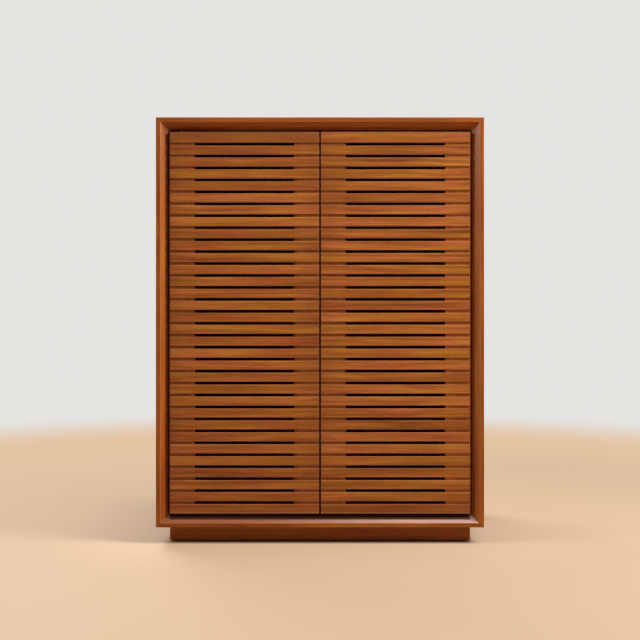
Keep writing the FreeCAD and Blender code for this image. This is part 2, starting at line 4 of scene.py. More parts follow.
import bmesh
import bpy
import numpy as np
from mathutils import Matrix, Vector

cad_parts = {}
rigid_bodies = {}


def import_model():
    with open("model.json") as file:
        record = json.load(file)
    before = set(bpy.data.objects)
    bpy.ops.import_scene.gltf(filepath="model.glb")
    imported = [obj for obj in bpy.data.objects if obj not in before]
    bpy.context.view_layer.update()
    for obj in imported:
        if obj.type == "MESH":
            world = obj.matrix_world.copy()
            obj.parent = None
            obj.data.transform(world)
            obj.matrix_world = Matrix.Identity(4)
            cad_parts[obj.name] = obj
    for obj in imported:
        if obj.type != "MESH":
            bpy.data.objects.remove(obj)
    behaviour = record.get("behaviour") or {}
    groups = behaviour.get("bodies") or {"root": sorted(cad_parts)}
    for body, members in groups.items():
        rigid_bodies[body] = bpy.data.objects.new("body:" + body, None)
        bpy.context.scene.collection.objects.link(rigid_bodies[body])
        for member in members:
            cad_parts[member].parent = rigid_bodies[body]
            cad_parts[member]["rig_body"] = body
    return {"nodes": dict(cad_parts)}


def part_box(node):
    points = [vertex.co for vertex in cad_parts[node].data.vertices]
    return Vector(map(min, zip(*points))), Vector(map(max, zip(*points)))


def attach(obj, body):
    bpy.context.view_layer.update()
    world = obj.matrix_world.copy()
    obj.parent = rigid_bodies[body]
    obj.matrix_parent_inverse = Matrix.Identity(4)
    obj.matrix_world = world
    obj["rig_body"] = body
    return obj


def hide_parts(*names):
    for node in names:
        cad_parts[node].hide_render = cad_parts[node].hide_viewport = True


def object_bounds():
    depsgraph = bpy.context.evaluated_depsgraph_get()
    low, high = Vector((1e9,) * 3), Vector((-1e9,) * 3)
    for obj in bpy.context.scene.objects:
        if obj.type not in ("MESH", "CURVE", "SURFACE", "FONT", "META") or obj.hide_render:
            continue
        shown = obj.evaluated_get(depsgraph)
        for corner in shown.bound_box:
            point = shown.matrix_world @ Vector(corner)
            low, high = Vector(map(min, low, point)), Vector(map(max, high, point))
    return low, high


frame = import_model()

# Looks of a slatted two-door cabinet: oiled reddish hardwood, a dark plinth and small fittings of metal
# and plastic. Everything is in metres: x to the right, y to the back, z up from the floor.
scene = bpy.context.scene
scene.view_settings.view_transform = "Standard"
nodes = frame["nodes"]
cadLow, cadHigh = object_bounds()
mm = 0.001


class Value:
    # A number that changes over a surface. Maths on it adds Math nodes to its finish.
    def __init__(self, finish, socket):
        self.finish = finish
        self.socket = socket

    def math(self, operation, *terms):
        return self.finish.node("ShaderNodeMath", {"operation": operation}, dict(enumerate(terms)))

    def __add__(self, other):
        return self.math("ADD", self, other)

    def __sub__(self, other):
        return self.math("SUBTRACT", self, other)

    def __rsub__(self, other):
        return self.math("SUBTRACT", other, self)

    def __mul__(self, other):
        return self.math("MULTIPLY", self, other)

    def __truediv__(self, other):
        return self.math("DIVIDE", self, other)

    def __pow__(self, other):
        return self.math("POWER", self, other)

    __radd__ = __add__
    __rmul__ = __mul__

    def floor(self):
        return self.math("FLOOR", self)

    def sine(self):
        return self.math("SINE", self)

    def root(self):
        return self.math("SQRT", self)

    def size(self):
        return self.math("ABSOLUTE", self)

    def above(self, edge):
        return self.math("GREATER_THAN", self, edge)

    def lesser(self, other):
        return self.math("MINIMUM", self, other)

    def greater(self, other):
        return self.math("MAXIMUM", self, other)

    def rise(self, low, high, start=0.0, end=1.0):  # eased from start at low to end at high
        return self.finish.node(
            "ShaderNodeMapRange",
            {"interpolation_type": "SMOOTHSTEP"},
            {"Value": self, "From Min": low, "From Max": high, "To Min": start, "To Max": end},
        )


class Finish:
    # One material. node() adds any node: its settings first, then the values or links of its sockets.
    def __init__(self, name):
        self.material = bpy.data.materials.new(name)
        self.material.use_nodes = True
        self.tree = self.material.node_tree
        self.tree.nodes.clear()
        place = self.node("ShaderNodeTexCoord", output="Object")
        self.x, self.y, self.z = self.split("ShaderNodeSeparateXYZ", place)

    def node(self, kind, settings=None, sockets=None, output=0):
        made = self.tree.nodes.new(kind)
        for name, setting in (settings or {}).items():
            if name == "stops":
                layStops(made.color_ramp, setting)
            else:
                setattr(made, name, setting)
        for name, value in (sockets or {}).items():
            if isinstance(value, Value):
                self.tree.links.new(value.socket, made.inputs[name])
            else:
                made.inputs[name].default_value = value
        return Value(self, made.outputs[output]) if made.outputs else None

    def split(self, kind, whole):
        first = self.node(kind, sockets={0: whole})
        return [Value(self, socket) for socket in first.socket.node.outputs]

    def point(self, x, y, z):
        return self.node("ShaderNodeCombineXYZ", sockets={0: x, 1: y, 2: z})

    def noise(self, x, y, z, detail=2.0, roughness=0.5):  # about 0 to 1, with a mean of a half
        sockets = {"Vector": self.point(x, y, z), "Scale": 1.0, "Detail": detail, "Roughness": roughness}
        return self.node("ShaderNodeTexNoise", sockets=sockets)

    def cloudy(self, waves):  # noise of one size in every direction
        return self.noise(self.x * waves, self.y * waves, self.z * waves)

    def chance(self, x, y, z):  # three random numbers for each whole-numbered place
        sockets = {"Vector": self.point(x, y, z)}
        colour = self.node("ShaderNodeTexWhiteNoise", sockets=sockets, output="Color")
        return self.split("ShaderNodeSeparateColor", colour)

    def ramp(self, share, stops):
        return self.node("ShaderNodeValToRGB", {"stops": stops}, {0: share})

    def blend(self, share, first, second, mode="MIX"):
        settings = {"data_type": "RGBA", "blend_type": mode, "clamp_factor": True}
        return self.node("ShaderNodeMix", settings, {0: share, 6: first, 7: second}, output=2)

    def shaded(self, colour, shade):
        return self.blend(1.0, colour, self.point(shade, shade, shade), "MULTIPLY")

    def bump(self, height, distance, strength):
        sockets = {"Height": height, "Distance": distance, "Strength": strength}
        return self.node("ShaderNodeBump", sockets=sockets)

    def surface(self, **sockets):
        named = {name.replace("_", " "): value for name, value in sockets.items()}
        shader = self.node("ShaderNodeBsdfPrincipled", sockets=named)
        self.node("ShaderNodeOutputMaterial", sockets={"Surface": shader})
        return self.material


def layStops(ramp, stops):
    (firstPlace, firstColour), *middle, (lastPlace, lastColour) = stops
    ramp.elements[0].position = firstPlace
    ramp.elements[0].color = firstColour
    ramp.elements[1].position = lastPlace
    ramp.elements[1].color = lastColour
    for place, colour in middle:
        ramp.elements.new(place).color = colour


def tint(red, green, blue):  # a colour as screens show it, 0 to 255, made linear
    return (*(((c / 255 + 0.055) / 1.055) ** 2.4 for c in (red, green, blue)), 1.0)


def dress(material, *names):
    for name in names:
        for slot in nodes[name].material_slots:
            slot.material = material


# Wood. Every stave is cut from a log whose rings run along it, so a board's faces, edges and ends agree.
# axes names the directions along the grain, across the stave and through it.
wood = {
    "seed": 3.0,
    "logLength": 40,  # the staves come from places this far apart along the log
    "ringGap": 5.2 * mm,
    "ringMean": 0.38,
    "ringStray": 2,  # how many rings the figure strays by
    "ringWander": 18 * mm,  # how far the rings stray from straight
    "heartAside": 120 * mm,  # the width over which the log's heart may lie behind a stave
    "heartLean": 0.05,
    "heartNear": 12 * mm,  # the heart's least depth behind the face
    "heartFar": 80 * mm,  # and how much deeper it may lie
    "sway": 30 * mm,  # how far the streaks stray, over a wave of a quarter of a metre
    "swayWaves": 4.0,
    "staveSway": 7.3,  # set the sway of neighbouring staves, and of the two doors, apart
    "doorSway": 5.1,
    "poreFrom": 0.64,  # the noise at which a pore starts and is whole
    "poreTo": 0.74,
    "poreDark": 0.45,
    "fibreDark": 0.8,  # the shade between the fibres
    "fibreLight": 0.42,  # and how much lighter they are
    "hueSpread": 4.0,
    "staveHue": 0.4,
    "fibreRough": 0.16,
    "poreRough": 0.14,
    "patchRough": 0.1,
    "fibreHeight": 0.5,
    "ringHeight": 0.3,
    "poreDepth": 1.2,
    "relief": 0.08 * mm,
    "reliefShare": 0.5,
    "polishRoughness": 0.28,
    "polishIor": 2.0,
}
woodNoise = {  # waves per metre along, across and through the stave, then detail and roughness
    "stray": (1.3, 9, 9, 2.0, 0.5),
    "patch": (4.2, 24, 24, 3.0, 0.5),
    "streak": (3.4, 85, 85, 4.0, 0.62),
    "hue": (5.0, 45, 45, 2.0, 0.5),
    "fibre": (16, 640, 640, 3.0, 0.65),
    "pore": (44, 1300, 1300, 1.0, 0.5),
}


def woodFinish(name, spec, worn=None):
    finish = Finish(name)
    axes = {"x": finish.x, "y": finish.y, "z": finish.z}
    along, across, through = (axes[letter] for letter in spec["axes"])
    row = ((across - spec["rowStart"]) / spec["rowPitch"]).floor()
    half = along.above(0) if spec["halved"] else through.above(0)
    rowLuck, ringLuck, toneLuck = finish.chance(row, half, wood["seed"])
    run = along + rowLuck * wood["logLength"]
    sway = finish.noise(run * wood["swayWaves"], row * wood["staveSway"], half * wood["doorSway"])
    swayed = across + (sway - 0.5) * wood["sway"]

    def grain(kind):  # noise drawn out along the stave
        long, wide, thick, detail, roughness = woodNoise[kind]
        return finish.noise(run * long, swayed * wide, through * thick, detail, roughness)

    # ring number = distance from the log's heart, which leans a little, divided by the ring gap
    stray = grain("stray") - 0.5
    fromRow = across - spec["rowStart"] - row * spec["rowPitch"]
    heart = (ringLuck - 0.5) * wood["heartAside"] + along * (rowLuck - 0.5) * wood["heartLean"]
    sideways = fromRow + heart + stray * wood["ringWander"]
    inward = through - spec["face"] + wood["heartNear"] + toneLuck * wood["heartFar"]
    rings = (sideways * sideways + inward * inward).root() / wood["ringGap"] + stray * wood["ringStray"]
    ring = ((rings * math.tau).sine() * 0.5 + 0.5) ** 2

    patch = grain("patch") - 0.5
    streak = grain("streak") - 0.5
    fibre = grain("fibre")
    pore = grain("pore").rise(wood["poreFrom"], wood["poreTo"])

    depth = 0.5 + patch * spec["patch"] + streak * spec["streak"]
    depth = depth + (ring - wood["ringMean"]) * spec["ring"] + (toneLuck - 0.5) * spec["stave"]
    colour = finish.ramp(depth, [(0.0, spec["pale"]), (0.5, spec["middle"]), (1.0, spec["deep"])])
    hue = (grain("hue") - 0.5) * wood["hueSpread"] + (ringLuck - 0.5) * wood["staveHue"] + 0.5
    colour = finish.blend(1.0, colour, finish.blend(hue, spec["golden"], spec["ruddy"]), "MULTIPLY")
    shade = (1 - pore * wood["poreDark"]) * (wood["fibreDark"] + fibre * wood["fibreLight"])
    colour = finish.shaded(colour, shade)
    polish = 0.0
    if worn:
        colour, polish = worn(finish, spec, colour)
    rough = (fibre - 0.5) * wood["fibreRough"] + pore * wood["poreRough"] + patch * wood["patchRough"]
    height = fibre * wood["fibreHeight"] + ring * wood["ringHeight"] - pore * wood["poreDepth"]
    return finish.surface(
        Base_Color=colour,
        Coat_Weight=polish,
        Coat_Roughness=wood["polishRoughness"],
        Coat_IOR=wood["polishIor"],
        Roughness=spec["roughness"] + rough,
        Normal=finish.bump(height, wood["relief"], wood["reliefShare"]),
        Specular_IOR_Level=spec["gloss"],
    )


# Slats: the row of each is found from its height, so no two show the same board.
slatLow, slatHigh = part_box("left_door_slats")
slats = {
    "count": 32,
    "gap": 8.6 * mm,
    "topExtra": 4.6 * mm,  # the top and bottom slats are this much taller
    "bottomExtra": 1.2 * mm,
    "boardDeep": 0.5,  # how much deeper the bottom boards and the left door's top board are
    "lowShade": 0.14,  # and painted shade on the lower slats, which darkens slowly between two heights
    "lowStart": 0.5,
    "lowEnd": 0.15,
    "meetingShade": 0.24,  # and painted shade on the doors' meeting ends, beside the gap between the doors
    "nearMeeting": 70 * mm,
    "shadedDeep": 0.26,  # and painted shade on the left door's outer end
    "shaded": 45 * mm,
    "upperShadeReach": 3 * mm,  # how far painted shade reaches down from the upper edges
    "upperShade": 0.35,
    "endShade": 0.7,
    "edgeShadeTone": tint(128, 88, 66),
    "edge": 2.2 * mm,  # how far the painted shade reaches in from the ends and the painted highlight up from the lower edges
    "underLight": 0.8,
    # the colour of the painted highlight on the lower edges
    "rubbedAndLit": tint(186, 132, 92),
    "endGrain": 0.9 * mm,  # how far the dark end grain shows
    "endShare": 0.85,
    "endDark": tint(64, 28, 9),
}
slatRoom = slatHigh.z - slatLow.z - slats["topExtra"] - slats["bottomExtra"]
slatPitch = (slatRoom + slats["gap"]) / slats["count"]
slatHalf = (slatPitch - slats["gap"]) / 2
slatLook = {
    "axes": "xzy",
    "halved": True,  # the two doors have boards of their own
    "rowStart": slatLow.z + slats["bottomExtra"] - slats["gap"] / 2,
    "rowPitch": slatPitch,
    "face": slatLow.y,
    "patch": 0.65,
    "streak": 1.35,
    "ring": 0.16,
    "stave": 0.2,
    "pale": tint(194, 120, 58),
    "middle": tint(158, 89, 32),
    "deep": tint(107, 49, 10),
    "golden": (1.0, 1.12, 0.72, 1.0),
    "ruddy": (1.0, 0.84, 1.2, 1.0),
    "roughness": 0.42,
    "gloss": 0.2,
}


def slatEdges(finish, spec, colour):
    row = ((finish.z - spec["rowStart"]) / slatPitch).floor()
    fromMiddle = finish.z - spec["rowStart"] - (row + 0.5) * slatPitch
    ends = finish.x.size()
    fromEnd = (ends + slatHigh.x).lesser(-slatLow.x - ends)
    leftDoor = (0 - finish.x).above(0.0)
    # some boards are deeper, and painted shade darkens the lower slats, the meeting ends and the left
    # door's outer end
    topLeft = row.above(slats["count"] - 1.5) * leftDoor
    board = (0.5 - row).above(0.0).greater(topLeft) * slats["boardDeep"]
    low = finish.z.rise(slats["lowEnd"], slats["lowStart"], slats["lowShade"], 0.0)
    nearMeeting = ends.rise(-slatHigh.x, slats["nearMeeting"] - slatHigh.x, slats["meetingShade"], 0.0)
    shaded = ends.rise(-slatLow.x - slats["shaded"], -slatLow.x, 0.0, slats["shadedDeep"]) * leftDoor
    colour = finish.blend(board.greater(low).greater(nearMeeting).greater(shaded), colour, spec["deep"])
    # painted shade dulls the upper edge, which the lamps above light, and the ends beside the gaps; a
    # painted highlight makes the lower edge, which is in shade, paler; end grain is dark
    upperEdgeShade = fromMiddle.rise(slatHalf - slats["upperShadeReach"], slatHalf, 0.0, slats["upperShade"])
    edgeShade = fromEnd.rise(0.0, slats["edge"], slats["endShade"], 0.0).greater(upperEdgeShade)
    colour = finish.blend(edgeShade, colour, slats["edgeShadeTone"])
    lowerEdgeLight = fromMiddle.rise(-slatHalf, slats["edge"] - slatHalf, slats["underLight"], 0.0)
    colour = finish.blend(lowerEdgeLight, colour, slats["rubbedAndLit"])
    endGrain = fromEnd.rise(slats["endGrain"] / 3, slats["endGrain"], slats["endShare"], 0.0)
    return finish.blend(endGrain, colour, slats["endDark"]), 0.0


dress(woodFinish("slat wood", slatLook, slatEdges), "left_door_slats", "right_door_slats")
print("slats dressed")

# Case boards: wide staves glued edge to edge, mitred at the corners.
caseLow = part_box("bottom_panel")[0]
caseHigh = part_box("top_panel")[1]
doorEdge = slatLow.x - cadLow.x  # how far in from the case's sides the doors start
case = {
    "staveWidth": 92 * mm,
    "staveStart": 20 * mm,  # how far in front of the case the first stave would start
    "frontEdge": 12 * mm,
    "bevel": 20 * mm,
    "bevelEase": 1 * mm,  # over which the bevel's polish stops behind it
    "lip": 0.6 * mm,  # over which the painted light and shade inside the frame start
    "bevelLitLow": 0.15,  # heights between which the bevels' painted light sets in
    "fadeHigh": 0.6,
    "bevelLitEase": 6 * mm,  # over which it stops towards the back
    "sillLow": 20 * mm,  # heights over which the lower bevel's polish stops
    "sillHigh": 60 * mm,
    "sillShade": 0.28,  # painted shade: how much deeper the lower bevel's wood is made
    "arrisWidth": 1.6 * mm,
    "arrisShare": 0.45,
    "rubbedAndLit": tint(196, 124, 78),
    "mitreWidth": 0.9 * mm,
    "mitreCore": 0.4,  # the share of its width over which a mitre's line is strongest
    "mitreShare": 0.8,
    # the mitre lines' painted highlight and painted shade
    "mitreHighlight": tint(205, 140, 96),
    "mitreShade": tint(60, 24, 6),
    "doorShadowFront": (7 * mm, 9 * mm),  # depths over which the painted shadow under the doors starts
    "doorShadowBack": (40 * mm, 60 * mm),  # and stops
    "doorShadowTop": (34 * mm, 38 * mm),  # heights over which it stops
    "doorShadowSide": (doorEdge - 2 * mm, doorEdge + 1 * mm),
    "doorShadowShare": 0.8,
    # the colour of the painted shadow under the doors
    "doorShadowTone": tint(30, 10, 3),
}
caseLook = {
    **slatLook,
    "halved": False,
    "rowPitch": case["staveWidth"],
    "rowStart": cadLow.y - case["staveStart"],
    "patch": 0.8,
    "streak": 1.3,
    "stave": 0.1,
    "pale": tint(177, 103, 43),
    "middle": tint(144, 76, 25),
    "deep": tint(99, 43, 8),
    "golden": (1.0, 1.07, 0.82, 1.0),
    "ruddy": (1.0, 0.9, 1.12, 1.0),
    "roughness": 0.34,
    "gloss": 0.12,
}


def caseEdges(finish, spec, colour):
    fromSide = cadHigh.x - finish.x.size()
    fromEnd = (caseHigh.z - finish.z).lesser(finish.z - caseLow.z)
    inward = fromSide.lesser(fromEnd) - case["frontEdge"]
    deep = finish.y - cadLow.y
    height = finish.z - caseLow.z
    onRight = finish.x.above(0)
    inside = inward.rise(0.0, case["lip"])
    bevel = inside * deep.rise(case["bevel"], case["bevel"] + case["bevelEase"], 1.0, 0.0)
    # painted light makes the upper bevels paler, and painted shade makes the lower one deeper
    fade = height.rise(case["bevelLitLow"], case["fadeHigh"], 0.0, spec["fade"])
    fade = fade * inside * deep.rise(spec["fadeDepth"], spec["fadeDepth"] + case["bevelLitEase"], 1.0, 0.0)
    colour = finish.blend(fade, colour, spec["faded"])
    sill = bevel * height.rise(case["sillLow"], case["sillHigh"], spec["sill"], 0.0)
    colour = finish.blend(sill * case["sillShade"], colour, spec["deep"])
    # the arris where the flat front edge meets the bevel is rubbed paler and carries a painted highlight
    # as well
    arrisWearAndLight = (inward * inward + deep * deep).root().rise(0.0, case["arrisWidth"], case["arrisShare"], 0.0)
    colour = finish.blend(arrisWearAndLight, colour, case["rubbedAndLit"])
    # a fine line along each mitre: a painted highlight on the left, on the bevel alone, and painted
    # shade on the right, as a small chamfer would catch the light from the right on the left corners and
    # lose it on the right ones
    mitreCore = case["mitreWidth"] * case["mitreCore"]
    mitre = (fromSide - fromEnd).size().rise(mitreCore, case["mitreWidth"], case["mitreShare"], 0.0)
    mitreHighlightShade = finish.blend(onRight, case["mitreHighlight"], case["mitreShade"])
    colour = finish.blend(mitre * inside.greater(onRight), colour, mitreHighlightShade)
    # painted shadow of the doors lies on the lower bevel beneath them and also takes away its polish
    # there; the lower bevel is the most polished
    underDoors = height.rise(*case["doorShadowTop"], 1.0, 0.0) * fromSide.rise(*case["doorShadowSide"]) * inside
    doorShadow = deep.rise(*case["doorShadowFront"], 0.0, case["doorShadowShare"]) * underDoors
    doorShadow = doorShadow * deep.rise(*case["doorShadowBack"], 1.0, 0.0)
    polish = (sill + bevel * spec["polish"]) * (1 - doorShadow)
    return finish.blend(doorShadow, colour, case["doorShadowTone"]), polish


board = {
    **caseLook,
    "face": 0.0,
    "sill": 0.0,
    "faded": caseLook["pale"],
    "fade": 0.28,
    "fadeDepth": case["bevel"],
}
level = {
    **board,
    "axes": "xyz",
    "sill": 1.0,  # the lower bevel is polished
    "polish": 0.0,
    # painted light on the outer part of the top bevel, short of the shade near the doors
    "faded": tint(180, 88, 24),
    "fade": 0.5,
    "fadeDepth": 9 * mm,
}
# the painted light is strongest on the left side's bevel, which the lamp on the right lights
leftUpright = {**board, "axes": "zyx", "polish": 0.012, "fade": 0.32, "gloss": 0.05}
rightUpright = {**board, "axes": "zyx", "polish": 0.06}
dress(woodFinish("case wood level", level, caseEdges), "top_panel", "bottom_panel")
dress(woodFinish("case wood left", leftUpright, caseEdges), "left_side")
dress(woodFinish("case wood right", rightUpright, caseEdges), "right_side")

# Door frames, behind the slats.
frameLook = {
    **slatLook,
    "halved": False,
    "axes": "zxy",
    "rowStart": -0.5,
    "rowPitch": 0.11,
    "patch": 0.4,
    "streak": 0.5,
    "ring": 0.08,
    "golden": caseLook["golden"],
    "ruddy": caseLook["ruddy"],
}


def toned(look, tone):  # the same wood, lighter or darker
    shades = {name: (*(c * tone for c in look[name][:3]), 1.0) for name in ("pale", "middle", "deep")}
    return {**look, **shades}


doorFrame = {"stileShade": 0.82, "stileLight": 1.3}  # painted shade darkens the frames, seen in the grooves between the slats, and painted light makes the right door's hinge stile paler
shadedFrame = toned(frameLook, doorFrame["stileShade"])
litFrame = toned(frameLook, doorFrame["stileLight"])
stiles = ("left_door_hinge_stile", "left_door_meeting_stile", "right_door_meeting_stile")
rails = [f"{side}_door_{end}_rail" for side in ("left", "right") for end in ("top", "bottom")]
dress(woodFinish("stile wood", shadedFrame), *stiles)
dress(woodFinish("pale stile wood", litFrame), "right_door_hinge_stile")
dress(woodFinish("rail wood", {**shadedFrame, "axes": "xzy", "rowStart": 0.0}), *rails)

# Plinth: the same wood under a dark stain.
plinthLook = {
    **caseLook,
    "axes": "xzy",
    "rowStart": -0.02,
    "rowPitch": 0.1,
    "patch": 0.6,
    "streak": 0.7,
    "pale": tint(174, 96, 38),
    "middle": tint(150, 80, 27),
    "deep": tint(112, 54, 14),
    "roughness": 0.5,
    "gloss": 0.15,
}
dress(woodFinish("plinth wood", plinthLook), "plinth_front_rail", "plinth_back_rail")
plinthEndLook = {**plinthLook, "axes": "yzx"}
dress(woodFinish("plinth end wood", plinthEndLook), "plinth_left_rail", "plinth_right_rail")

# Shelves, back and the plain wood inside.
shelfLook = {**caseLook, "axes": "xyz", "rowPitch": 0.12, "face": 0.0, "roughness": 0.48}
dress(woodFinish("shelf wood", shelfLook), "upper_shelf", "middle_shelf", "lower_shelf")
backLook = {
    **shelfLook,
    "axes": "zxy",
    "rowStart": -0.45,
    "rowPitch": 0.225,
    "face": 0.3,
    "roughness": 0.55,
}
dress(woodFinish("back board", backLook), "back_panel")
rawLook = {
    **caseLook,
    "axes": "xzy",
    "pale": tint(206, 168, 120),
    "middle": tint(184, 142, 94),
    "deep": tint(150, 108, 66),
    "roughness": 0.7,
}
dress(woodFinish("raw wood", rawLook), "plinth_corner_blocks", "mitre_splines")
print("case, frames, plinth and inside dressed")

# Fittings: brushed metal and moulded plastic.
metal = {
    "alongWaves": 120,  # the scratches' waves per metre, along the brushing
    "acrossWaves": 4200,
    "detail": 3.0,
    "roughness": 0.7,
    "cloudWaves": 40,
    "shade": 0.8,  # the darkest shade, and what scratches and clouds add to it
    "scratchShade": 0.25,
    "cloudShade": 0.15,
    "scratchRough": 0.25,
    "relief": 0.02 * mm,
    "reliefShare": 0.4,
}
plastic = {
    "grainWaves": 2600,
    "cloudWaves": 60,
    "shade": 0.85,
    "grainShade": 0.1,
    "cloudShade": 0.2,
    "cloudRough": 0.15,
    "relief": 0.04 * mm,
    "reliefShare": 0.5,
    "gloss": 0.25,
}


def metalFinish(name, colour, roughness, brushed="x"):
    # brushed metal: long fine scratches along one axis, over slow cloudy changes
    finish = Finish(name)
    waves = [metal["alongWaves"] if axis == brushed else metal["acrossWaves"] for axis in "xyz"]
    place = (finish.x * waves[0], finish.y * waves[1], finish.z * waves[2])
    scratch = finish.noise(*place, metal["detail"], metal["roughness"])
    cloud = finish.cloudy(metal["cloudWaves"])
    shade = metal["shade"] + scratch * metal["scratchShade"] + cloud * metal["cloudShade"]
    return finish.surface(
        Base_Color=finish.shaded(colour, shade),
        Metallic=1.0,
        Roughness=roughness + (scratch - 0.5) * metal["scratchRough"],
        Normal=finish.bump(scratch, metal["relief"], metal["reliefShare"]),
    )


def plasticFinish(name, colour, roughness):
    # moulded plastic: a fine sparked grain and faint cloudiness
    finish = Finish(name)
    grain = finish.cloudy(plastic["grainWaves"])
    cloud = finish.cloudy(plastic["cloudWaves"])
    shade = plastic["shade"] + grain * plastic["grainShade"] + cloud * plastic["cloudShade"]
    return finish.surface(
        Base_Color=finish.shaded(colour, shade),
        Roughness=roughness + (cloud - 0.5) * plastic["cloudRough"],
        Normal=finish.bump(grain, plastic["relief"], plastic["reliefShare"]),
        Specular_IOR_Level=plastic["gloss"],
    )


bronze = metalFinish("bronzed plate", tint(72, 57, 45), 0.5)
darkSteel = metalFinish("dark pin steel", tint(58, 56, 54), 0.5, "z")
brightSteel = metalFinish("strike steel", tint(190, 190, 192), 0.28)
nickel = metalFinish("nickel", tint(205, 200, 190), 0.22)
screwSteel = metalFinish("screw steel", tint(150, 142, 128), 0.34)
blackNylon = plasticFinish("black nylon", tint(16, 13, 11), 0.55)
brownPlastic = plasticFinish("brown latch plastic", tint(96, 66, 48), 0.45)
blackPlastic = plasticFinish("black latch plastic", tint(34, 33, 33), 0.4)
for side in ("left", "right"):
    for end in ("top", "bottom"):
        dress(bronze, f"{side}_{end}_pivot_case_plate", f"{side}_{end}_pivot_door_plate")
    dress(brownPlastic, f"{side}_latch_housing")
print("plates and latches dressed")

# Small turned pieces stand in for their plain CAD solids, at the same places and sizes.
meshing = {
    "digits": 6,  # corners that agree to these digits are one
    "weld": 1e-6,
    "sharpAngle": 0.7,
}


def islands(node):
    # the separate solids of a CAD node, each as its corner points: labels spread over shared corners
    # until they settle
    mesh = nodes[node].data
    points = np.empty(len(mesh.vertices) * 3)
    mesh.vertices.foreach_get("co", points)
    points = points.reshape(-1, 3)
    corners = np.empty(len(mesh.loops), dtype=int)
    mesh.loops.foreach_get("vertex_index", corners)
    same = np.unique(points.round(meshing["digits"]), axis=0, return_inverse=True)[1].ravel()
    corners = same[corners].reshape(-1, 3)
    label = np.arange(same.max() + 1)
    while True:
        spread = label.copy()
        np.minimum.at(spread, corners, label[corners].min(axis=1, keepdims=True))
        if (spread == label).all():
            break
        label = spread
    return [points[label[same] == one] for one in np.unique(label)]


def seats(node, axis, headEnd):
    # where each solid of a node starts, which way it points along the axis, and its length
    starts, signs, lengths = [], [], []
    for points in islands(node):
        low, high = points.min(axis=0), points.max(axis=0)
        middle = (low + high) / 2
        spread = np.linalg.norm(np.delete(points - middle, axis, axis=1), axis=1)
        nearLow = points[:, axis] < middle[axis]
        headLow = {
            "wide": spread[nearLow].max() > spread[~nearLow].max(),
            "low": True,
            "high": False,
            "middle": abs(low[axis]) < abs(high[axis]),  # nearest the cabinet's middle
        }[headEnd]
        start = middle.copy()
        start[axis] = low[axis] if headLow else high[axis]
        starts.append(start)
        signs.append(1.0 if headLow else -1.0)
        lengths.append(high[axis] - low[axis])
    return np.array(starts), np.array(signs), lengths


def placed(local, starts, signs, axis, turns):
    # shapes made along z, each set at its start and along the axis, and spun about it by its turn
    forward = np.zeros((len(starts), 3))
    forward[:, axis] = signs
    aside = np.roll(np.eye(3)[axis], 1)
    upward = np.cross(forward, aside)
    cosine, sine = np.cos(turns)[:, None], np.sin(turns)[:, None]
    frames = np.stack([cosine * aside + sine * upward, cosine * upward - sine * aside, forward], axis=1)
    return starts[:, None, None, :] + np.einsum("nrck,nkj->nrcj", local, frames)


def gridMesh(name, points, material):
    # a mesh over grids of points, rows by columns by xyz, with each last column joined to its first
    rows, columns = points.shape[-3:-1]
    index = np.arange(points.size // 3).reshape(-1, rows, columns)
    index = np.concatenate([index, index[..., :1]], axis=-1)
    corners = [index[:, :-1, :-1], index[:, :-1, 1:], index[:, 1:, 1:], index[:, 1:, :-1]]
    faces = np.stack(corners, axis=-1)
    mesh = bpy.data.meshes.new(name)
    mesh.from_pydata(points.reshape(-1, 3).tolist(), [], faces.reshape(-1, 4).tolist())
    work = bmesh.new()
    work.from_mesh(mesh)
    bmesh.ops.remove_doubles(work, verts=work.verts, dist=meshing["weld"])  # closes the poles
    bmesh.ops.recalc_face_normals(work, faces=work.faces)
    work.to_mesh(mesh)
    work.free()
    mesh.polygons.foreach_set("use_smooth", np.ones(len(mesh.polygons), dtype=bool))
    mesh.set_sharp_from_angle(angle=meshing["sharpAngle"])
    mesh.materials.append(material)
    made = bpy.data.objects.new(name, mesh)
    scene.collection.objects.link(made)
    return made


turnSeed = 5  # how each screw and pin happens to be turned
dice = np.random.default_rng(turnSeed)


def standIn(node, material, along, headEnd, shape):
    # one mesh for all the solids of a node; shape gives the grid for a solid of a given length
    axis = "xyz".index(along)
    starts, signs, lengths = seats(node, axis, headEnd)
    local = np.stack([shape(length) for length in lengths])
    turns = dice.uniform(0, math.tau, len(starts))
    piece = gridMesh(f"{node}_finished", placed(local, starts, signs, axis, turns), material)
    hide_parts(node)
    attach(piece, nodes[node]["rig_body"])


def eased(corners, ease, steps=5, most=0.45):
    # an outline whose inner corners are curves: each starts and ends an ease away from its corner, and
    # takes at most that share of an edge
    corners = np.array(corners, dtype=float)
    here = corners[1:-1]
    back, ahead = corners[:-2] - here, corners[2:] - here
    backLength = np.linalg.norm(back, axis=1, keepdims=True)
    aheadLength = np.linalg.norm(ahead, axis=1, keepdims=True)
    reach = np.minimum(ease, most * np.minimum(backLength, aheadLength))
    start = (here + back / backLength * reach)[:, None, :]
    end = (here + ahead / aheadLength * reach)[:, None, :]
    t = np.linspace(0, 1, steps)[None, :, None]
    curves = (1 - t) ** 2 * start + 2 * t * (1 - t) * here[:, None, :] + t**2 * end
    return np.concatenate([corners[:1], curves.reshape(-1, 2), corners[-1:]])


def turned(corners, ease, columns=32):
    # a surface of revolution: an outline of radius and depth, eased at its corners and turned about z
    radius, depth = eased(corners, ease).T
    angle = np.linspace(0, math.tau, columns, endpoint=False)
    x, y = np.outer(radius, np.cos(angle)), np.outer(radius, np.sin(angle))
    return np.stack([x, y, np.outer(depth, np.ones(columns))], axis=-1)


